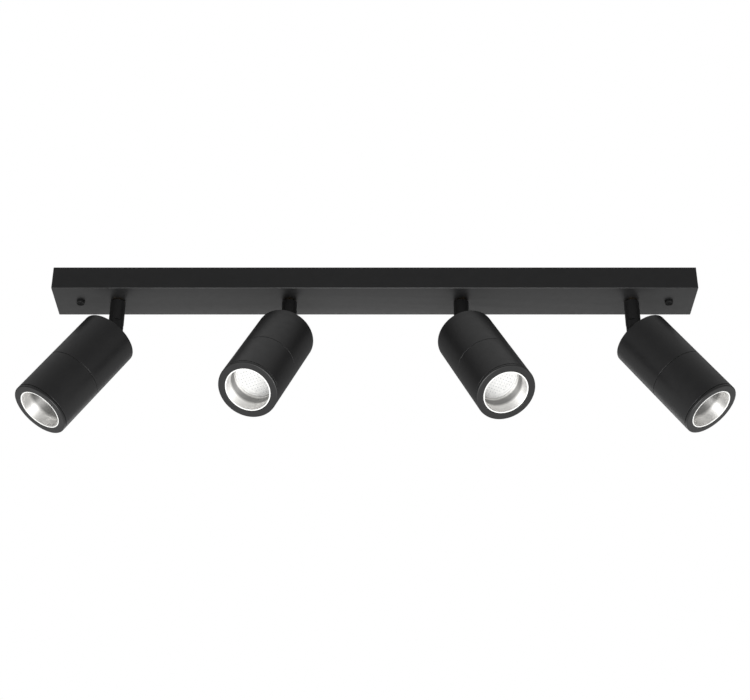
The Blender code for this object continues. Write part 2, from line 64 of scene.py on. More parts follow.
MM = 0.001
GAP = 0.3 * MM  # clearance between neighbouring pieces
TINY = 1e-7  # points closer than this are one point
SCREW_FACETS = 48
STEM_FACETS = 64
HEADS = (1, 2, 3, 4)
JOINTS = {joint["name"]: joint for joint in frame["joints"]}


# --- sizes and colours that a user would change ---------------------------------------------------


def length(name, description, default):
    return FloatProperty(
        name=name, description=description, default=default * MM, unit="LENGTH", precision=5
    )


def colour(name, description, default):
    return FloatVectorProperty(
        name=name, description=description, default=default, subtype="COLOR", min=0, max=1
    )


def number(name, description, default, **options):
    return FloatProperty(name=name, description=description, default=default, **options)


def angle(name, description, degrees):
    return number(name, description, math.radians(degrees), subtype="ANGLE")


class SpotlightBarSizes(bpy.types.PropertyGroup):
    sheet: length("Cover Sheet", "Thickness of the cover's steel sheet", 1.2)
    edge: length("Cover Edge", "Outer radius of the cover's folds", 0.7)
    strap_sheet: length("Strap Sheet", "Thickness of the strap and its feet", 1.5)
    corner: length("Corner Radius", "Radius of the strap's corners", 2)
    bend: length("Bend Radius", "Outer radius of the bends in the strap's feet", 2.2)
    nipple_hole: length("Nipple Hole", "Radius of each hole for a swivel nipple", 5.2)
    wire_entry: length("Wire Entry", "Radius of the strap's hole for the supply", 11)
    wire_entry_x: length("Wire Entry Place", "Place of that hole along the bar", 42)
    slot_pitch: length("Slot Pitch", "Distance between the two slots of a pair", 60)
    slot_length: length("Slot Length", "Length of each slot for a ceiling screw", 12)
    slot_width: length("Slot Width", "Width of each slot for a ceiling screw", 4.6)
    screw_shank: length("Screw Shank", "Radius of the canopy screws' shanks", 2)


class SpotlightStemSizes(bpy.types.PropertyGroup):
    radius: length("Stem Radius", "Outer radius of the stem", 7.1)
    bore: length("Stem Bore", "Radius of the way for the lead", 3)
    socket: length("Stem Socket", "Radius of the socket for the nipple", 5.1)
    socket_depth: length("Socket Depth", "Depth of that socket", 8)
    fork_slot: length("Fork Slot", "Width of the slot for the head's lug", 5.6)
    fork_half: length("Fork Half Width", "From the stem's middle to each flat cheek", 6)
    fork_end: length("Fork End", "Radius of the fork's rounded end", 7.2)
    slot_top: length("Slot Top", "Height of the slot above the pivot", 7)
    flat_top: length("Flat Top", "Height of the flat cheeks above the pivot", 10)
    pin: length("Pivot Pin", "Radius of the pivot screw", 2)


class SpotlightHeadSizes(bpy.types.PropertyGroup):
    radius: length("Head Radius", "Outer radius of the head", 27.5)
    extent: length("Head Length", "From the rear face to the front ring's face", 102.5)
    rear_face: length("Rear Face", "From the pivot to the rear face", 10.1)
    rear_wall: length("Rear Wall", "Thickness of the rear wall", 3)
    seam: length("Seam", "From the rear face to the seam", 54.3)
    seam_gap: length("Seam Gap", "Width of the seam", 0.4)
    groove: length("Front Groove", "Width of the groove behind the front ring", 0.6)
    ring_back: length("Front Ring", "From the rear face to the front ring's back", 99.9)
    aperture: length("Aperture", "Radius of the front ring's opening", 21.3)
    reflector: length("Reflector", "Inner radius of the reflector", 19.8)
    reflector_back: length("Reflector Back", "From the rear face to the reflector's flange", 78.2)
    outer_edge: length("Outer Edge", "Rounding of the rear and front edges", 0.9)
    seam_edge: length("Seam Edge", "Rounding beside the seam and the groove", 0.25)
    plate: length("Lens Plate", "From the rear face to the lens plate's front", 77.9)
    ring_inner: length("Lens Ring", "Inner radius of the ring round the lens plate", 17.2)
    dot_pitch: length("Dot Pitch", "Distance between the lens plate's dots", 2.9)
    dot_radius: length("Dot Radius", "Radius of each dot", 0.52)
    dot_height: length("Dot Height", "How far each dot stands out", 0.3)
    facets: IntProperty(
        name="Facets", description="Facets round a full turn", default=96, min=24, max=256
    )


class SpotlightColours(bpy.types.PropertyGroup):
    powder: colour("Powder Coat", "Black coat of the bar and the heads", (0.0080, 0.0080, 0.0083))
    screws: colour("Black Screws", "Black oxide of the screws", (0.003, 0.003, 0.0032))
    silver: colour("Reflector", "Anodised reflector", (0.98, 0.97, 0.95))
    # Painted highlight: pale matte colour for the reflector's rolled metal edge.
    lip: colour("Reflector Lip", "Bright edge of the reflector", (0.86, 0.86, 0.84))
    lens: colour("Lens Plate", "White of the lens plate", (0.68, 0.68, 0.67))
    dots: colour("Lens Dots", "Grey of the lens plate's dots", (0.46, 0.47, 0.48))
    zinc: colour("Zinc", "Zinc plating of the steel", (0.72, 0.73, 0.74))
    brass: colour("Brass", "Brass of the swivels", (0.78, 0.57, 0.28))
    aluminium: colour("Aluminium", "Bare aluminium inside the heads", (0.66, 0.67, 0.68))
    plastic: colour("Plastic", "Driver and terminal block", (0.74, 0.75, 0.74))
    leads: colour("Leads", "Sheath of the leads", (0.62, 0.62, 0.60))
    floor: colour("Floor", "Studio floor", (0.80, 0.80, 0.79))


class SpotlightStage(bpy.types.PropertyGroup):
    distance: length("Camera Distance", "From the middle of the bar's underside", 1531.5)
    aside: length("Camera Aside", "From the bar's middle towards its right end", 0.2)
    below: angle("Camera Below", "How far the camera lies below the bar", 32.76)
    pitch: angle("Camera Pitch", "How far the camera looks up", 31.06)
    focal: number("Focal Length", "Lens of the camera", 78.28, unit="CAMERA")
    floor_drop: length("Floor Drop", "From the ceiling to the floor", 2400)
    floor_reach: length("Floor Reach", "From the floor's middle to its edges", 30000)
    floor_glow: number("Floor Glow", "Brightness of the lit floor", 0.4)
    low_light: number("Light From Below", "Brightness of the room below the bar", 0.42)
    high_light: number("Light From Above", "Brightness of the room above the bar", 0.20)
    zenith_light: number("Light From Straight Above", "Added brightness overhead", 0.42)
    front_power: number("Front Light", "Power of the soft light in front", 33, unit="POWER")
    back_power: number("Back Board", "Power of the board behind", 1.8, unit="POWER")


# --- shader node groups ---------------------------------------------------------------------------


FINISH_OUTPUTS = [
    ("Colour", "NodeSocketColor"),
    ("Roughness", "NodeSocketFloat"),
    ("Height", "NodeSocketFloat"),
]


def new_group(name, inputs, outputs):
    tree = bpy.data.node_groups.new(name, "ShaderNodeTree")
    for socket, kind, default in inputs:
        made = tree.interface.new_socket(socket, in_out="INPUT", socket_type=kind)
        made.default_value = default
    for socket, kind in outputs:
        tree.interface.new_socket(socket, in_out="OUTPUT", socket_type=kind)
    enter = tree.nodes.new("NodeGroupInput")
    leave = tree.nodes.new("NodeGroupOutput")
    return tree, enter, leave


def wire(tree, output, target):
    tree.links.new(output, target)


def math_node(tree, operation, first, second=None):
    """A Math node; each operand is a socket or a number."""
    node = tree.nodes.new("ShaderNodeMath")
    node.operation = operation
    for socket, value in zip(node.inputs, (first, second)):
        if isinstance(value, bpy.types.NodeSocket):
            wire(tree, value, socket)
        elif value is not None:
            socket.default_value = value
    return node.outputs[0]


def noise_node(tree, vector, scale, detail=2.0, roughness=0.5):
    node = tree.nodes.new("ShaderNodeTexNoise")
    node.inputs["Detail"].default_value = detail
    node.inputs["Roughness"].default_value = roughness
    wire(tree, vector, node.inputs["Vector"])
    if isinstance(scale, bpy.types.NodeSocket):
        wire(tree, scale, node.inputs["Scale"])
    else:
        node.inputs["Scale"].default_value = scale
    return node.outputs["Fac"]


def spread(tree, value, low, high, start=0.3, end=0.7):
    """Maps start..end of a value to low..high; the defaults suit a noise."""
    node = tree.nodes.new("ShaderNodeMapRange")
    node.inputs["From Min"].default_value = start
    node.inputs["From Max"].default_value = end
    wire(tree, value, node.inputs["Value"])
    for socket, limit in (("To Min", low), ("To Max", high)):
        if isinstance(limit, bpy.types.NodeSocket):
            wire(tree, limit, node.inputs[socket])
        else:
            node.inputs[socket].default_value = limit
    return node.outputs["Result"]


def scaled(tree, vector, factor):
    """A colour or vector times a number."""
    node = tree.nodes.new("ShaderNodeVectorMath")
    node.operation = "SCALE"
    wire(tree, vector, node.inputs[0])
    wire(tree, factor, node.inputs["Scale"])
    return node.outputs[0]


def parts_of(tree, vector):
    """The X, Y and Z of a vector."""
    node = tree.nodes.new("ShaderNodeSeparateXYZ")
    wire(tree, vector, node.inputs[0])
    return node.outputs


def grain_group():
    """Fine orange-peel grain with slow changes of tone and gloss, for coats and plastics."""
    tree, enter, leave = new_group(
        "coat_grain",
        [
            ("Vector", "NodeSocketVector", (0, 0, 0)),
            ("Colour", "NodeSocketColor", (0.5, 0.5, 0.5, 1)),
            ("Grain", "NodeSocketFloat", 1400.0),
            ("Variation", "NodeSocketFloat", 0.12),
            ("Roughness Low", "NodeSocketFloat", 0.4),
            ("Roughness High", "NodeSocketFloat", 0.5),
        ],
        FINISH_OUTPUTS,
    )
    vector = enter.outputs["Vector"]
    fine = noise_node(tree, vector, enter.outputs["Grain"], 3.0, 0.6)
    slow = noise_node(tree, vector, 28.0, 3.0)
    gloss = noise_node(tree, vector, 160.0, 2.0)
    less = math_node(tree, "SUBTRACT", 1.0, enter.outputs["Variation"])
    more = math_node(tree, "ADD", 1.0, enter.outputs["Variation"])
    tone = math_node(tree, "MULTIPLY", spread(tree, slow, less, more), spread(tree, fine, 0.94, 1.06))
    rough = spread(tree, gloss, enter.outputs["Roughness Low"], enter.outputs["Roughness High"])
    wire(tree, scaled(tree, enter.outputs["Colour"], tone), leave.inputs["Colour"])
    wire(tree, rough, leave.inputs["Roughness"])
    wire(tree, fine, leave.inputs["Height"])
    return tree


def lathe_group():
    """Fine turning lines round a piece, read from its own UV map."""
    tree, enter, leave = new_group(
        "turning_lines",
        [
            ("Vector", "NodeSocketVector", (0, 0, 0)),
            ("Colour", "NodeSocketColor", (0.5, 0.5, 0.5, 1)),
            ("Lines", "NodeSocketFloat", 300.0),
            ("Roughness Low", "NodeSocketFloat", 0.15),
            ("Roughness High", "NodeSocketFloat", 0.25),
        ],
        FINISH_OUTPUTS,
    )
    place = parts_of(tree, enter.outputs["Vector"])
    along = math_node(tree, "MULTIPLY", place["Y"], enter.outputs["Lines"])
    turn = math_node(tree, "MULTIPLY", place["X"], 2 * math.pi)
    join = tree.nodes.new("ShaderNodeCombineXYZ")
    wire(tree, math_node(tree, "COSINE", turn), join.inputs["X"])
    wire(tree, math_node(tree, "SINE", turn), join.inputs["Y"])
    wire(tree, along, join.inputs["Z"])
    lines = noise_node(tree, join.outputs[0], 1.0, 2.0)
    tone = spread(tree, lines, 0.94, 1.03)
    rough = spread(tree, lines, enter.outputs["Roughness Low"], enter.outputs["Roughness High"])
    wire(tree, scaled(tree, enter.outputs["Colour"], tone), leave.inputs["Colour"])
    wire(tree, rough, leave.inputs["Roughness"])
    wire(tree, lines, leave.inputs["Height"])
    return tree


# --- materials ------------------------------------------------------------------------------------


def group_material(name, group, paint, values, bump, uv=False, **shader_values):
    """A Principled material whose colour, roughness and bump come from a node group."""
    material = bpy.data.materials.get(name)
    if material:
        return material
    material = bpy.data.materials.new(name)
    material.use_nodes = True
    tree = material.node_tree
    shader = tree.nodes["Principled BSDF"]
    place = tree.nodes.new("ShaderNodeTexCoord")
    made = tree.nodes.new("ShaderNodeGroup")
    make = {"coat_grain": grain_group, "turning_lines": lathe_group}[group]
    made.node_tree = bpy.data.node_groups.get(group) or make()
    wire(tree, place.outputs["UV" if uv else "Object"], made.inputs["Vector"])
    made.inputs["Colour"].default_value = (*paint, 1)
    for socket, value in values.items():
        made.inputs[socket].default_value = value
    strength, depth = bump
    relief = tree.nodes.new("ShaderNodeBump")
    relief.inputs["Strength"].default_value = strength
    relief.inputs["Distance"].default_value = depth * MM
    wire(tree, made.outputs["Height"], relief.inputs["Height"])
    wire(tree, made.outputs["Colour"], shader.inputs["Base Color"])
    wire(tree, made.outputs["Roughness"], shader.inputs["Roughness"])
    wire(tree, relief.outputs["Normal"], shader.inputs["Normal"])
    for socket, value in shader_values.items():
        shader.inputs[socket.replace("_", " ")].default_value = value
    material.diffuse_color = (*paint, 1)
    return material


def coat(name, paint, low, high, grain=1400.0, variation=0.12, bump=(0.25, 0.05), **values):
    settings = {
        "Grain": grain,
        "Variation": variation,
        "Roughness Low": low,
        "Roughness High": high,
    }
    return group_material(name, "coat_grain", paint, settings, bump, **values)


def lathed(name, paint, low, high, lines=300.0, bump=(0.15, 0.02), **values):
    settings = {"Lines": lines, "Roughness Low": low, "Roughness High": high}
    return group_material(name, "turning_lines", paint, settings, bump, uv=True, **values)


def palette():
    return bpy.context.scene.spotlight_colours


def powder_coat():
    return coat("black_powder_coat", palette().powder, 0.38, 0.44, variation=0.05)


def black_oxide():
    return coat("black_oxide_screws", palette().screws, 0.62, 0.74)


def anodised_silver():
    """Satin metal with highlights from the lip to the lens, and a band of painted shade near the lens
    that darkens its colour.

    The piece's UV runs from 0 at the lip, in units of 100 mm.
    """
    name = "anodised_reflector"
    material = bpy.data.materials.get(name)
    if material:
        return material
    along_axis = {"Metallic": 1.0, "Anisotropic": 0.86, "Anisotropic_Rotation": 0.25}
    material = lathed(name, palette().silver, 0.54, 0.62, 200.0, (0.1, 0.01), **along_axis)
    tree = material.node_tree
    shader = tree.nodes["Principled BSDF"]
    tangent = tree.nodes.new("ShaderNodeTangent")
    tangent.direction_type = "UV_MAP"
    tangent.uv_map = "UVMap"
    wire(tree, tangent.outputs[0], shader.inputs["Tangent"])
    depth = parts_of(tree, tree.nodes.new("ShaderNodeTexCoord").outputs["UV"])["Y"]
    collar_and_painted_shade = spread(tree, depth, 1.0, 0.34, 0.09, 0.125)  # painted shade: darker from 9 to 12.5 mm inwards
    flange_and_painted_shade_end = spread(tree, depth, 0.0, 0.55, 0.185, 0.205)  # end of the painted shade: lighter again past 18.5 mm
    # Painted shade: the reflector's colour is scaled down in a band near the lens.
    silver = shader.inputs["Base Color"].links[0].from_socket
    shaded = scaled(tree, silver, math_node(tree, "ADD", collar_and_painted_shade, flange_and_painted_shade_end))
    wire(tree, shaded, shader.inputs["Base Color"])
    return material


def lip_painted_highlight():
    # Painted highlight: the reflector's rolled metal edge gets a pale matte colour in place of the
    # glint it catches.
    return coat("lip_painted_highlight", palette().lip, 0.35, 0.45, 700.0, 0.03, (0.08, 0.02))


def lens_white():
    return coat("frosted_lens", palette().lens, 0.25, 0.35, 900.0, 0.04, (0.08, 0.03))


def lens_dot():
    return coat("lens_dots", palette().dots, 0.2, 0.3, 900.0, 0.06, (0.08, 0.03))


def zinc_plate():
    return coat("zinc_plated_steel", palette().zinc, 0.34, 0.5, 500.0, 0.12, Metallic=0.6)


def turned_brass():
    return coat("swivel_brass", palette().brass, 0.22, 0.34, 700.0, 0.1, Metallic=1.0)


def bare_aluminium():
    return coat("bare_aluminium", palette().aluminium, 0.3, 0.42, 600.0, 0.1, Metallic=1.0)


def moulded_plastic():
    return coat("moulded_plastic", palette().plastic, 0.42, 0.55, 900.0, 0.05)


def lead_sheath():
    return coat("lead_sheath", palette().leads, 0.45, 0.6, 700.0, 0.06)


# --- shape helpers --------------------------------------------------------------------------------


def rounded_outline(corners):
    """A closed outline from (across, along, fillet) corners.

    Straight stretches get a point near each end, which keeps the shading flat between fillets.
    """
    steps = 4
    margin = 0.25 * MM
    points = []
    for i, (across, along, *fillet) in enumerate(corners):
        here = Vector((across, along))
        radius = fillet[0] if fillet else 0
        if radius == 0:
            points.append(here)
            continue
        back = (Vector(corners[i - 1][:2]) - here).normalized()
        ahead = (Vector(corners[(i + 1) % len(corners)][:2]) - here).normalized()
        half = back.angle(ahead) / 2
        centre = here + (back + ahead).normalized() * radius / math.sin(half)
        start = here + back * radius / math.tan(half) - centre
        end = here + ahead * radius / math.tan(half) - centre
        for step in range(steps + 1):
            points.append(centre + start.slerp(end, step / steps) * start.length)
    supported = []
    for here, ahead in zip(points, points[1:] + points[:1]):
        supported.append(here)
        run = ahead - here
        if run.length > 4 * margin:
            supported.append(here + run.normalized() * margin)
            supported.append(ahead - run.normalized() * margin)
    return supported


def piece_object(name, mesh, material):
    obj = bpy.data.objects.new(name, mesh)
    bpy.context.scene.collection.objects.link(obj)
    mesh.materials.clear()
    mesh.materials.append(material)
    return obj


def turned_mesh(name, corners, facets):
    """A solid of revolution about Z with a UV map: once round, and millimetres / 100 along."""
    outline = rounded_outline(corners)
    bm = bmesh.new()
    uv = bm.loops.layers.uv.new("UVMap")
    rows = []
    for i in range(facets):
        turn = 2 * math.pi * i / facets
        cos, sin = math.cos(turn), math.sin(turn)
        rows.append([bm.verts.new((p.x * cos, p.x * sin, p.y)) for p in outline])
    walked = [0.0]
    for here, ahead in zip(outline, outline[1:] + outline[:1]):
        walked.append(walked[-1] + (ahead - here).length / (100 * MM))
    count = len(outline)
    for i, row in enumerate(rows):
        following = rows[(i + 1) % facets]
        for j in range(count):
            k = (j + 1) % count
            if outline[j].x < TINY and outline[k].x < TINY:
                continue
            face = bm.faces.new((row[j], following[j], following[k], row[k]))
            around = (i / facets, (i + 1) / facets, (i + 1) / facets, i / facets)
            along = (walked[j], walked[j], walked[j + 1], walked[j + 1])
            for loop, u, v in zip(face.loops, around, along):
                loop[uv].uv = (u, v)
    bmesh.ops.remove_doubles(bm, verts=bm.verts, dist=TINY)
    return closed_mesh(bm, name, 35)


def closed_mesh(bm, name, sharp_degrees):
    bmesh.ops.recalc_face_normals(bm, faces=bm.faces)
    mesh = bpy.data.meshes.new(name)
    bm.to_mesh(mesh)
    bm.free()
    mesh.shade_smooth()
    mesh.set_sharp_from_angle(angle=math.radians(sharp_degrees))
    return mesh


def extruded_mesh(name, outline, start, end, axis="Z", soften=0.0):
    """A prism on a flat outline, pulled along the named axis, with its edges softened."""
    bm = bmesh.new()
    place = {
        "Z": lambda a, b: (a, b, start),
        "Y": lambda a, b: (a, start, b),
        "X": lambda a, b: (start, a, b),
    }[axis]
    face = bm.faces.new([bm.verts.new(place(*point)) for point in outline])
    swept = bmesh.ops.extrude_face_region(bm, geom=[face])
    moved = [item for item in swept["geom"] if isinstance(item, bmesh.types.BMVert)]
    pull = Vector([end - start if letter == axis else 0 for letter in "XYZ"])
    bmesh.ops.translate(bm, verts=moved, vec=pull)
    if soften:
        sharp = [e for e in bm.edges if e.calc_face_angle(0) > math.radians(40)]
        bmesh.ops.bevel(bm, geom=sharp, offset=soften, segments=3, profile=0.5, affect="EDGES")
    return closed_mesh(bm, name, 25)


def rounded_box_mesh(name, low, high, radius, open_top=False):
    """A box with rounded edges; an open-topped one keeps its top edges sharp."""
    bm = bmesh.new()
    bmesh.ops.create_cube(bm, size=1)
    bmesh.ops.scale(bm, verts=bm.verts, vec=high - low)
    bmesh.ops.translate(bm, verts=bm.verts, vec=(low + high) / 2)
    top = high.z - 1e-6
    soft = [e for e in bm.edges if not (open_top and all(v.co.z > top for v in e.verts))]
    bmesh.ops.bevel(bm, geom=soft, offset=radius, segments=5, profile=0.5, affect="EDGES")
    return closed_mesh(bm, name, 10)


def post_mesh(x, radius, low, high, facets=SCREW_FACETS):
    corners = [(0, low), (radius, low), (radius, high), (0, high)]
    mesh = turned_mesh("post", corners, facets)
    mesh.transform(Matrix.Translation((x, 0, 0)))
    return mesh


def boolean(mesh, cutter, operation="DIFFERENCE", sharp_degrees=30):
    """The mesh after one exact Boolean with the cutter's mesh."""
    body = bpy.data.objects.new("body", mesh)
    tool = bpy.data.objects.new("tool", cutter)
    for obj in (body, tool):
        bpy.context.scene.collection.objects.link(obj)
    modifier = body.modifiers.new("cut", "BOOLEAN")
    modifier.operation = operation
    modifier.solver = "EXACT"
    modifier.object = tool
    graph = bpy.context.evaluated_depsgraph_get()
    result = bpy.data.meshes.new_from_object(body.evaluated_get(graph))
    for obj in (body, tool):
        bpy.data.objects.remove(obj)
    result.shade_smooth()
    result.set_sharp_from_angle(angle=math.radians(sharp_degrees))
    return result


def drilled(mesh, x, radius, low, high, facets=SCREW_FACETS, sharp_degrees=30):
    """The mesh with an upright round hole on the middle line."""
    return boolean(mesh, post_mesh(x, radius, low, high, facets), sharp_degrees=sharp_degrees)


def hexagon(radius):
    turns = [math.pi * i / 3 for i in range(6)]
    return [(radius * math.cos(turn), radius * math.sin(turn)) for turn in turns]


def cross_outline(reach, half):
    arm = [(reach, -half), (reach, half), (half, half), (half, reach), (-half, reach), (-half, half)]
    return arm + [(-x, -y) for x, y in arm]


def slot_outline(x, reach, half, steps=8):
    """A slot along X with round ends."""
    points = []
    for side in (1, -1):
        for step in range(steps + 1):
            turn = math.pi * (step / steps - 0.5)
            across = reach - half + half * math.cos(turn)
            points.append((x + side * across, side * half * math.sin(turn)))
    return points


def add_piece(name, mesh, material, body, *nodes):
    """Adds a finished piece that rides on a body and stands for the CAD nodes named."""
    obj = piece_object(name, mesh, material)
    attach(obj, body)
    if nodes:
        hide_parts(*nodes)
    return obj


def dress_node(name, material):
    """Gives a CAD node that stays its own material."""
    slots = frame["nodes"][name].material_slots
    for slot in slots:
        slot.material = material


def middle(node):
    low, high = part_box(node)
    return (low + high) / 2


def pan_matrix(k):
    """From a stem's own frame, at the bar's underside, to the bar's."""
    return Matrix.Translation(JOINTS[f"pan_{k}"]["pos_m"]) @ Matrix.Rotation(pan_angle(k), 4, "Z")


def pan_angle(k):
    axis = Vector(JOINTS[f"tilt_{k}"]["axis"])
    return math.atan2(axis.x, -axis.y)


def head_matrix(k):
    """From a head's own frame, with the pivot at the origin and light leaving along -Z.

    The joint's lower limit, measured from rest, is where the head points straight down.
    """
    tilt = JOINTS[f"tilt_{k}"]
    rest_tilt = math.radians(tilt["range_deg"][0])
    turn = Matrix.Rotation(pan_angle(k), 4, "Z") @ Matrix.Rotation(rest_tilt, 4, "Y")
    return Matrix.Translation(tilt["pos_m"]) @ turn


def pivot_drop():
    return JOINTS["pan_1"]["pos_m"][2] - JOINTS["tilt_1"]["pos_m"][2]


def copies(name, mesh, material, body, place, *nodes):
    """One piece for each head, from a mesh in the stem's or the head's own frame."""
    for k in HEADS:
        own = mesh.copy()
        own.transform(place(k))
        add_piece(f"{name}_{k}", own, material, f"{body}_{k}", *[f"{node}_{k}" for node in nodes])


# --- bar ------------------------------------------------------------------------------------------


class SPOTLIGHT_OT_bar(bpy.types.Operator):
    """Makes the folded steel cover of the bar"""

    bl_idname = "spotlight.bar"
    bl_label = "Bar Cover"

    def execute(self, context):
        sizes = context.scene.spotlight_bar
        low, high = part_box("canopy_pan")
        cover = rounded_box_mesh("bar_cover", low, high, sizes.edge, open_top=True)
        wall = Vector((sizes.sheet, sizes.sheet, sizes.sheet))
        inside_high = high + Vector((-sizes.sheet, -sizes.sheet, sizes.sheet))
        inside = rounded_box_mesh("inside", low + wall, inside_high, sizes.edge - sizes.sheet / 2)
        cover = boolean(cover, inside, sharp_degrees=10)
        below = low.z - sizes.sheet
        floor = low.z + 2 * sizes.sheet
        holes = [(JOINTS[f"pan_{k}"]["pos_m"][0], sizes.nipple_hole) for k in HEADS]
        for side in ("left", "right"):
            holes.append((middle(f"canopy_screw_{side}").x, sizes.screw_shank + GAP))
        for x, radius in holes:
            cover = drilled(cover, x, radius, below, floor, sharp_degrees=10)
        cover = add_piece("bar_cover", cover, powder_coat(), "canopy", "canopy_pan")
        return {"FINISHED"}


class SPOTLIGHT_OT_fixings(bpy.types.Operator):
    """Makes the ceiling strap, its two feet and the two canopy screws"""

    bl_idname = "spotlight.fixings"
    bl_label = "Strap, Feet and Screws"

    def execute(self, context):
        sizes = context.scene.spotlight_bar
        self.strap(sizes)
        for side, sign in (("left", -1), ("right", 1)):
            self.foot(side, sign, sizes)
            self.screw(side, sizes)
        return {"FINISHED"}

    def strap(self, sizes):
        low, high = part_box("mounting_bracket")
        ends = ((low.x, low.y), (high.x, low.y), (high.x, high.y), (low.x, high.y))
        outline = rounded_outline([(x, y, sizes.corner) for x, y in ends])
        mesh = extruded_mesh("strap", outline, low.z, high.z)
        below, above = low.z - 1 * MM, high.z + 1 * MM
        mesh = drilled(mesh, sizes.wire_entry_x, sizes.wire_entry, below, above, STEM_FACETS)
        for pair in (-sizes.slot_pitch, 2 * sizes.slot_pitch):
            for side in (-0.5, 0.5):
                x = pair + side * sizes.slot_pitch
                slot = slot_outline(x, sizes.slot_length / 2, sizes.slot_width / 2)
                mesh = boolean(mesh, extruded_mesh("slot", slot, below, above))
        add_piece("ceiling_strap", mesh, zinc_plate(), "canopy", "mounting_bracket")

    def foot(self, side, sign, sizes):
        node = f"bracket_foot_{side}"
        low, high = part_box(node)
        t = sizes.strap_sheet
        outer, inner = sizes.bend, sizes.bend - t
        start, end = sorted((sign * low.x, sign * high.x))
        riser = start + (end - start) / 2
        corners = [
            (riser, high.z, outer),
            (riser, low.z + t, inner),
            (end, low.z + t),
            (end, low.z),
            (riser - t, low.z, outer),
            (riser - t, high.z - t, inner),
            (start, high.z - t),
            (start, high.z),
        ]
        outline = [(sign * p.x, p.y) for p in rounded_outline(corners)]
        mesh = extruded_mesh("foot", outline, low.y, high.y, "Y")
        x = middle(f"canopy_screw_{side}").x
        mesh = drilled(mesh, x, sizes.screw_shank + GAP, low.z - t, low.z + 2 * t)
        add_piece(f"strap_foot_{side}", mesh, zinc_plate(), "canopy", node)

    def screw(self, side, sizes):
        node = f"canopy_screw_{side}"
        low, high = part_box(node)
        head = (high.x - low.x) / 2
        head_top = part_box("canopy_pan")[0].z - GAP
        shank = sizes.screw_shank
        thread = [(shank, head_top, 0.2 * MM)]
        pitch = 0.7 * MM
        groove = 0.3 * MM
        for turn in range(int((high.z - head_top) / pitch) - 2):
            z = head_top + (turn + 1.5) * pitch
            thread += [(shank - groove, z), (shank, z + pitch / 2)]
        dish = low.z + 1.3 * MM
        dish_radius, rim_radius = 2.8 * MM, 3.2 * MM
        corners = [
            (0, dish),
            (dish_radius, dish),
            (rim_radius, low.z, 0.1 * MM),
            (head, low.z, 0.4 * MM),
            (head, head_top, 0.15 * MM),
            *thread,
            (shank - groove, high.z - groove),
            (shank - 2 * groove, high.z),
            (0, high.z),
        ]
        mesh = turned_mesh("screw", corners, SCREW_FACETS)
        cross = cross_outline(2.2 * MM, 0.45 * MM)
        recess = extruded_mesh("cross", cross, low.z - 1 * MM, dish + 0.6 * MM)
        mesh = boolean(mesh, recess)
        mesh.transform(Matrix.Translation((middle(node).x, 0, 0)))
        add_piece(f"cover_screw_{side}", mesh, black_oxide(), "canopy", node)


class SPOTLIGHT_OT_wiring(bpy.types.Operator):
    """Finishes the driver, its clip, the terminal block and the leads"""

    bl_idname = "spotlight.wiring"
    bl_label = "Wiring Gear"

    def execute(self, context):
        low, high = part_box("led_driver")
        case = rounded_box_mesh("driver_case", low, high, 2 * MM)
        add_piece("driver_case", case, moulded_plastic(), "canopy", "led_driver")
        dress_node("terminal_block", moulded_plastic())
        dress_node("driver_clip", zinc_plate())
        dress_node("earth_screw", turned_brass())
        for k in HEADS:
            dress_node(f"lead_{k}", lead_sheath())
            dress_node(f"swivel_nut_{k}", turned_brass())
        return {"FINISHED"}


# --- swivels and stems ----------------------------------------------------------------------------


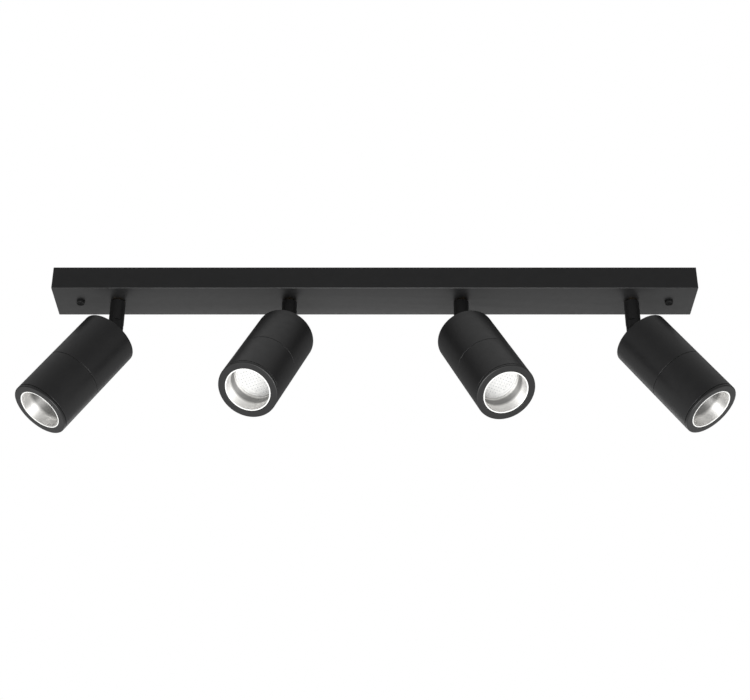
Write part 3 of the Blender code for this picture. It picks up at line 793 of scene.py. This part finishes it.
class SPOTLIGHT_OT_swivels(bpy.types.Operator):
    """Makes the brass nipples, the stems with their forks, and the pivot screws"""

    bl_idname = "spotlight.swivels"
    bl_label = "Swivels and Stems"

    def execute(self, context):
        sizes = context.scene.spotlight_stem
        self.nipples(sizes)
        for name, mesh, material, node in (
            ("stem_tube", self.stem(sizes), powder_coat(), "stem"),
            ("knuckle_screw", self.pivot_screw(sizes), black_oxide(), "pivot_screw"),
        ):
            copies(name, mesh, material, "swivel", pan_matrix, node)
        return {"FINISHED"}

    def nipples(self, sizes):
        low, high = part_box("swivel_nipple_1")
        underside = JOINTS["pan_1"]["pos_m"][2]
        bottom = low.z - underside
        top = high.z - underside
        radius = sizes.socket - GAP
        bore = 3.6 * MM
        collar_and_painted_shade = 5.6 * MM
        collar_low = -0.9 * MM
        corners = [
            (bore, bottom),
            (radius, bottom),
            (radius, collar_low),
            (collar_and_painted_shade, collar_low, 0.1 * MM),
            (collar_and_painted_shade, -GAP, 0.1 * MM),
            (radius, -GAP),
            (radius, 1.5 * MM),
        ]
        pitch = 0.8 * MM
        groove = 0.35 * MM
        thread_low = 1.9 * MM
        for turn in range(int((top - thread_low - GAP) / pitch)):
            z = thread_low + turn * pitch
            corners += [(radius - groove, z), (radius, z + pitch / 2)]
        corners += [(radius - groove, top), (bore, top)]
        mesh = turned_mesh("nipple", corners, SCREW_FACETS)
        copies("brass_nipple", mesh, turned_brass(), "swivel", pan_matrix, "swivel_nipple")

    def stem(self, sizes):
        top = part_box("stem_1")[1].z - JOINTS["pan_1"]["pos_m"][2]
        radius = sizes.radius
        drop = pivot_drop()
        bottom = -drop - sizes.fork_end - 1 * MM
        corners = [
            (sizes.bore, bottom),
            (radius, bottom),
            (radius, top, 0.5 * MM),
            (sizes.socket, top),
            (sizes.socket, top - sizes.socket_depth),
            (sizes.bore, top - sizes.socket_depth),
        ]
        mesh = turned_mesh("stem", corners, STEM_FACETS)
        end = sizes.fork_end
        turns = [math.pi * (1 + step / 25) for step in range(26)]
        side_view = [(end * math.cos(turn), end * math.sin(turn) - drop) for turn in turns]
        side_view += [(end, 1 * MM), (-end, 1 * MM)]
        width = radius + 1 * MM
        mesh = boolean(mesh, extruded_mesh("side", side_view, -width, width, "Y"), "INTERSECT")
        half = sizes.fork_slot / 2
        slot_top = sizes.slot_top - drop
        slot = [(-half, bottom), (half, bottom), (half, slot_top), (-half, slot_top)]
        mesh = boolean(mesh, extruded_mesh("slot", slot, -width, width, "X"))
        for side in (-1, 1):
            inner, outer = sorted((side * sizes.fork_half, side * width))
            flat_top = sizes.flat_top - drop
            flat = [(inner, bottom), (outer, bottom), (outer, flat_top), (inner, flat_top)]
            mesh = boolean(mesh, extruded_mesh("flat", flat, -width, width, "X"))
        return boolean(mesh, cross_post(sizes.pin + GAP, width, -drop))

    def pivot_screw(self, sizes):
        start = -sizes.fork_half - GAP
        head = 3.4 * MM
        tall = 1.8 * MM
        corners = [
            (0, start - tall),
            (head, start - tall, 0.7 * MM),
            (head, start, 0.1 * MM),
            (sizes.pin, start),
            (sizes.pin, sizes.fork_half, 0.3 * MM),
            (0, sizes.fork_half),
        ]
        mesh = turned_mesh("pivot", corners, SCREW_FACETS)
        socket = extruded_mesh("socket", hexagon(1.5 * MM), start - tall - 1 * MM, start - 0.6 * MM)
        mesh = boolean(mesh, socket)
        across = Matrix.Rotation(-math.pi / 2, 4, "X")
        mesh.transform(Matrix.Translation((0, 0, -pivot_drop())) @ across)
        return mesh


def cross_post(radius, half_length, height):
    """A cylinder along Y at a height on the stem's axis."""
    mesh = post_mesh(0, radius, -half_length, half_length)
    mesh.transform(Matrix.Translation((0, 0, height)) @ Matrix.Rotation(math.pi / 2, 4, "X"))
    return mesh


# --- heads ----------------------------------------------------------------------------------------


def head_corners(sizes, corners):
    """Turns (radius, distance from the rear face, fillet) into the head frame's corners."""
    return [(r, -sizes.rear_face - s, *fillet) for r, s, *fillet in corners]


class SPOTLIGHT_OT_heads(bpy.types.Operator):
    """Makes each head's rear housing, front barrel and front ring"""

    bl_idname = "spotlight.heads"
    bl_label = "Head Shells"

    def execute(self, context):
        sizes = context.scene.spotlight_head
        pin = context.scene.spotlight_stem.pin
        for name, mesh, node in (
            ("rear_shell", self.rear(sizes, pin), "rear_housing"),
            ("front_shell", self.front(sizes), "front_barrel"),
            ("front_ring", self.ring(sizes), "bezel_ring"),
        ):
            copies(name, mesh, powder_coat(), "head", head_matrix, node)
        return {"FINISHED"}

    def rear(self, sizes, pin):
        front = sizes.seam - sizes.seam_gap / 2
        bore = 25.7 * MM
        corners = [
            (0, 0),
            (sizes.radius, 0, sizes.outer_edge),
            (sizes.radius, front, sizes.seam_edge),
            (bore, front),
            (bore, sizes.rear_wall),
            (0, sizes.rear_wall),
        ]
        mesh = turned_mesh("rear", head_corners(sizes, corners), sizes.facets)
        half_width = 6 * MM
        half = 2.5 * MM
        lead_hole, lead_hole_x = 2.5 * MM, -13 * MM
        root = -sizes.rear_face - sizes.rear_wall / 2
        arc = [math.pi * step / 24 for step in range(25)]
        lug = [(half_width * math.cos(a), half_width * math.sin(a)) for a in arc]
        lug += [(-half_width, root), (half_width, root)]
        mesh = boolean(mesh, extruded_mesh("lug", lug, -half, half, "Y", soften=0.3 * MM), "UNION")
        mesh = boolean(mesh, cross_post(pin + GAP, 2 * half, 0))
        low = -sizes.rear_face - 2 * sizes.rear_wall
        return drilled(mesh, lead_hole_x, lead_hole, low, -sizes.rear_face + sizes.rear_wall)

    def front(self, sizes):
        bore = 24.5 * MM
        spigot = 25.4 * MM
        shoulder = sizes.seam + sizes.seam_gap / 2
        start = shoulder - 10 * MM
        end = sizes.ring_back - sizes.groove
        corners = [
            (bore, start),
            (spigot, start),
            (spigot, shoulder),
            (sizes.radius, shoulder, sizes.seam_edge),
            (sizes.radius, end, sizes.seam_edge),
            (bore, end),
        ]
        return turned_mesh("front", head_corners(sizes, corners), sizes.facets)

    def ring(self, sizes):
        spigot_start = 79.5 * MM
        spigot = 24.2 * MM
        spigot_bore = 22.6 * MM
        corners = [
            (spigot_bore, spigot_start),
            (spigot, spigot_start),
            (spigot, sizes.ring_back),
            (sizes.radius, sizes.ring_back, sizes.seam_edge),
            (sizes.radius, sizes.extent, sizes.outer_edge),
            (sizes.aperture, sizes.extent, 0.3 * MM),
            (sizes.aperture, sizes.ring_back),
            (spigot_bore, sizes.ring_back),
        ]
        return turned_mesh("ring", head_corners(sizes, corners), sizes.facets)


# --- optics ---------------------------------------------------------------------------------------


def dot_tree():
    """Geometry Nodes: a round plate's grid of shallow dots."""
    tree = bpy.data.node_groups.new("lens_dot_grid", "GeometryNodeTree")
    for name in ("Pitch", "Plate Radius", "Dot Radius", "Dot Height"):
        tree.interface.new_socket(name, in_out="INPUT", socket_type="NodeSocketFloat")
    tree.interface.new_socket("Material", in_out="INPUT", socket_type="NodeSocketMaterial")
    tree.interface.new_socket("Geometry", in_out="OUTPUT", socket_type="NodeSocketGeometry")
    add = tree.nodes.new
    enter = add("NodeGroupInput")
    leave = add("NodeGroupOutput")
    grid = add("GeometryNodeMeshGrid")
    width = math_node(tree, "MULTIPLY", enter.outputs["Plate Radius"], 2.0)
    cells = math_node(tree, "FLOOR", math_node(tree, "DIVIDE", width, enter.outputs["Pitch"]))
    span = math_node(tree, "MULTIPLY", cells, enter.outputs["Pitch"])
    rows = math_node(tree, "ADD", cells, 1.0)
    for socket in ("Size X", "Size Y"):
        wire(tree, span, grid.inputs[socket])
    for socket in ("Vertices X", "Vertices Y"):
        wire(tree, rows, grid.inputs[socket])
    place = add("GeometryNodeInputPosition")
    reach = add("ShaderNodeVectorMath")
    reach.operation = "LENGTH"
    wire(tree, place.outputs[0], reach.inputs[0])
    edge = math_node(tree, "SUBTRACT", enter.outputs["Plate Radius"], enter.outputs["Dot Radius"])
    inside = math_node(tree, "LESS_THAN", reach.outputs["Value"], edge)
    dome = add("GeometryNodeMeshUVSphere")
    dome.inputs["Segments"].default_value = 10
    dome.inputs["Rings"].default_value = 6
    dome.inputs["Radius"].default_value = 1.0
    size = add("ShaderNodeCombineXYZ")
    wire(tree, enter.outputs["Dot Radius"], size.inputs["X"])
    wire(tree, enter.outputs["Dot Radius"], size.inputs["Y"])
    wire(tree, enter.outputs["Dot Height"], size.inputs["Z"])
    repeat = add("GeometryNodeInstanceOnPoints")
    wire(tree, grid.outputs["Mesh"], repeat.inputs["Points"])
    wire(tree, inside, repeat.inputs["Selection"])
    wire(tree, dome.outputs["Mesh"], repeat.inputs["Instance"])
    wire(tree, size.outputs[0], repeat.inputs["Scale"])
    real = add("GeometryNodeRealizeInstances")
    finish = add("GeometryNodeSetMaterial")
    wire(tree, repeat.outputs[0], real.inputs[0])
    wire(tree, real.outputs[0], finish.inputs["Geometry"])
    wire(tree, enter.outputs["Material"], finish.inputs["Material"])
    wire(tree, finish.outputs[0], leave.inputs[0])
    return tree


def nodes_mesh(name, tree, values):
    """The plain mesh that a Geometry Nodes tree makes from named values."""
    holder = bpy.data.objects.new(name, bpy.data.meshes.new(name))
    bpy.context.scene.collection.objects.link(holder)
    modifier = holder.modifiers.new("nodes", "NODES")
    modifier.node_group = tree
    for socket in tree.interface.items_tree:
        if socket.item_type == "SOCKET" and socket.name in values:
            modifier[socket.identifier] = values[socket.name]
    graph = bpy.context.evaluated_depsgraph_get()
    mesh = bpy.data.meshes.new_from_object(holder.evaluated_get(graph))
    holder.modifiers.remove(modifier)
    bpy.data.objects.remove(holder)
    if not mesh.vertices:
        raise RuntimeError(f"{name} came out empty")
    mesh.shade_smooth()
    return mesh


class SPOTLIGHT_OT_optics(bpy.types.Operator):
    """Makes each head's reflector and lens plate, and finishes what lies behind them"""

    bl_idname = "spotlight.optics"
    bl_label = "Reflectors and Lenses"

    def execute(self, context):
        sizes = context.scene.spotlight_head
        for name, mesh, material, *nodes in (
            ("silver_reflector", self.reflector(sizes), anodised_silver(), "reflector"),
            # The lip's pale matte colour is a painted highlight on the rolled metal edge.
            ("reflector_lip", self.lip(sizes), lip_painted_highlight()),
            ("white_lens", self.plate(sizes), lens_white(), "lens_plate"),
        ):
            copies(name, mesh, material, "head", head_matrix, *nodes)
        dots = nodes_mesh(
            "lens_dots",
            dot_tree(),
            {
                "Pitch": sizes.dot_pitch,
                "Plate Radius": sizes.ring_inner - GAP,
                "Dot Radius": sizes.dot_radius,
                "Dot Height": sizes.dot_height,
                "Material": lens_dot(),
            },
        )
        dots.transform(Matrix.Translation((0, 0, -sizes.rear_face - sizes.plate)))
        copies("lens_dots", dots, lens_dot(), "head", head_matrix)
        for k in HEADS:
            dress_node(f"led_board_{k}", moulded_plastic())
            dress_node(f"heat_sink_{k}", bare_aluminium())
        return {"FINISHED"}

    def reflector(self, sizes):
        outer = sizes.reflector + 1 * MM
        lip = sizes.extent - 0.95 * MM
        flange_and_painted_shade_end = 24 * MM
        corners = [
            (sizes.reflector, lip),
            (sizes.reflector, sizes.reflector_back),
            (flange_and_painted_shade_end, sizes.reflector_back),
            (flange_and_painted_shade_end, sizes.reflector_back + 1 * MM),
            (outer, sizes.reflector_back + 1 * MM),
            (outer, lip),
        ]
        return turned_mesh("reflector", head_corners(sizes, corners), sizes.facets)

    def lip(self, sizes):
        """The rolled edge that closes the gap between the reflector and the front ring."""
        back = sizes.extent - 0.9 * MM
        front = sizes.extent - 0.15 * MM
        outer = sizes.aperture - 0.35 * MM
        inner = sizes.reflector + 0.05 * MM
        corners = [
            (inner, back, 0.25 * MM),
            (outer, back),
            (outer, front, 0.2 * MM),
            (inner, front - 0.1 * MM, 0.4 * MM),
        ]
        return turned_mesh("lip", head_corners(sizes, corners), sizes.facets)

    def plate(self, sizes):
        back = sizes.plate - 1.9 * MM
        skirt = 20.6 * MM
        flange_and_painted_shade_end = 24 * MM
        board = 70.3 * MM
        ring_outer = 19.6 * MM
        ring_crest = 18.4 * MM
        ring_top = sizes.reflector_back + 1 * MM
        corners = [
            (0, back),
            (skirt, back),
            (skirt, board),
            (flange_and_painted_shade_end, board),
            (flange_and_painted_shade_end, sizes.plate),
            (ring_outer, sizes.plate),
            (ring_outer, ring_top, 0.3 * MM),
            (ring_crest, ring_top, 0.3 * MM),
            (sizes.ring_inner, sizes.plate, 0.3 * MM),
            (0, sizes.plate),
        ]
        return turned_mesh("plate", head_corners(sizes, corners), sizes.facets)


# --- stage ----------------------------------------------------------------------------------------


class SPOTLIGHT_OT_stage(bpy.types.Operator):
    """Makes the studio: floor, soft light and camera"""

    bl_idname = "spotlight.stage"
    bl_label = "Studio"

    def execute(self, context):
        stage = context.scene.spotlight_stage
        context.scene.view_settings.view_transform = "Standard"
        self.floor(stage)
        self.room_light(context.scene, stage)
        self.soft_boxes(stage)
        self.camera(context.scene, stage)
        return {"FINISHED"}

    def floor(self, stage):
        bm = bmesh.new()
        bmesh.ops.create_grid(bm, x_segments=1, y_segments=1, size=stage.floor_reach)
        bmesh.ops.translate(bm, verts=bm.verts, vec=(0, 0, -stage.floor_drop))
        mesh = bpy.data.meshes.new("studio_floor")
        bm.to_mesh(mesh)
        bm.free()
        glow = {"Emission_Color": (1, 1, 1, 1), "Emission_Strength": stage.floor_glow}
        material = coat("studio_floor", palette().floor, 0.6, 0.75, 60.0, 0.02, (0.05, 0.2), **glow)
        floor = piece_object("studio_floor", mesh, material)

    def room_light(self, scene, stage):
        """Light from the room: bright below and dim above, on a white ground."""
        world = bpy.data.worlds.new("studio")
        world.use_nodes = True
        scene.world = world
        tree = world.node_tree
        ground = tree.nodes["Background"]
        height = parts_of(tree, tree.nodes.new("ShaderNodeTexCoord").outputs["Generated"])["Z"]
        sides = spread(tree, height, stage.low_light, stage.high_light, -0.55, 0.45)
        zenith = spread(tree, height, 0.0, stage.zenith_light, 0.6, 0.95)
        glow = math_node(tree, "ADD", sides, zenith)
        sight = tree.nodes.new("ShaderNodeLightPath").outputs["Is Camera Ray"]
        blend = tree.nodes.new("ShaderNodeMix")
        blend.inputs["B"].default_value = 1.0
        wire(tree, sight, blend.inputs["Factor"])
        wire(tree, glow, blend.inputs["A"])
        wire(tree, blend.outputs["Result"], ground.inputs["Strength"])
        ground.inputs["Color"].default_value = (1, 1, 1, 1)

    def soft_boxes(self, stage):
        """A wide soft light in front, and a board behind that shines along the underside."""
        bar_middle = Vector((0, 0, -0.06))
        for name, place, width, height, power in (
            ("front_box", (0, -0.9, -1.6), 1.3, 0.5, stage.front_power),
            ("back_board", (-0.05, 1.5, -0.1), 0.8, 0.7, stage.back_power),
        ):
            light = bpy.data.lights.new(name, "AREA")
            light.shape = "RECTANGLE"
            light.size = width
            light.size_y = height
            light.energy = power
            lamp = bpy.data.objects.new(name, light)
            lamp.location = place
            lamp.visible_camera = False
            aim = bar_middle - Vector(place)
            lamp.rotation_euler = aim.to_track_quat("-Z", "Y").to_euler()
            bpy.context.scene.collection.objects.link(lamp)

    def camera(self, scene, stage):
        lens = bpy.data.cameras.new("camera")
        lens.sensor_width = 36
        lens.lens = stage.focal
        lens.clip_end = 50
        camera = bpy.data.objects.new("camera", lens)
        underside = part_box("canopy_pan")[0].z
        camera.location = (
            stage.aside,
            -stage.distance * math.cos(stage.below),
            underside - stage.distance * math.sin(stage.below),
        )
        camera.rotation_euler = (math.pi / 2 + stage.pitch, 0, 0)
        scene.collection.objects.link(camera)
        scene.camera = camera


# --- panel and registration -----------------------------------------------------------------------


class SPOTLIGHT_PT_panel(bpy.types.Panel):
    """Lists the operators and their sizes"""

    bl_idname = "SPOTLIGHT_PT_panel"
    bl_label = "Spotlight Bar"
    bl_space_type = "VIEW_3D"
    bl_region_type = "UI"
    bl_category = "Spotlight Bar"

    def draw(self, context):
        for operator in OPERATORS:
            self.layout.operator(operator.bl_idname)
        for name in SETTINGS:
            group = getattr(context.scene, name)
            box = self.layout.box()
            for prop in group.bl_rna.properties:
                if prop.identifier not in ("rna_type", "name"):
                    box.prop(group, prop.identifier)


SETTINGS = {
    "spotlight_bar": SpotlightBarSizes,
    "spotlight_stem": SpotlightStemSizes,
    "spotlight_head": SpotlightHeadSizes,
    "spotlight_colours": SpotlightColours,
    "spotlight_stage": SpotlightStage,
}
OPERATORS = (
    SPOTLIGHT_OT_bar,
    SPOTLIGHT_OT_fixings,
    SPOTLIGHT_OT_wiring,
    SPOTLIGHT_OT_swivels,
    SPOTLIGHT_OT_heads,
    SPOTLIGHT_OT_optics,
    SPOTLIGHT_OT_stage,
)


def register():
    for cls in (*SETTINGS.values(), *OPERATORS, SPOTLIGHT_PT_panel):
        bpy.utils.register_class(cls)
    for name, group in SETTINGS.items():
        setattr(bpy.types.Scene, name, PointerProperty(type=group))


def unregister():
    for name in SETTINGS:
        delattr(bpy.types.Scene, name)
    for cls in reversed((*SETTINGS.values(), *OPERATORS, SPOTLIGHT_PT_panel)):
        bpy.utils.unregister_class(cls)


def main():
    register()
    bpy.ops.spotlight.bar()
    bpy.ops.spotlight.fixings()
    bpy.ops.spotlight.wiring()
    bpy.ops.spotlight.swivels()
    bpy.ops.spotlight.heads()
    bpy.ops.spotlight.optics()
    bpy.ops.spotlight.stage()


if __name__ == "__main__":
    main()
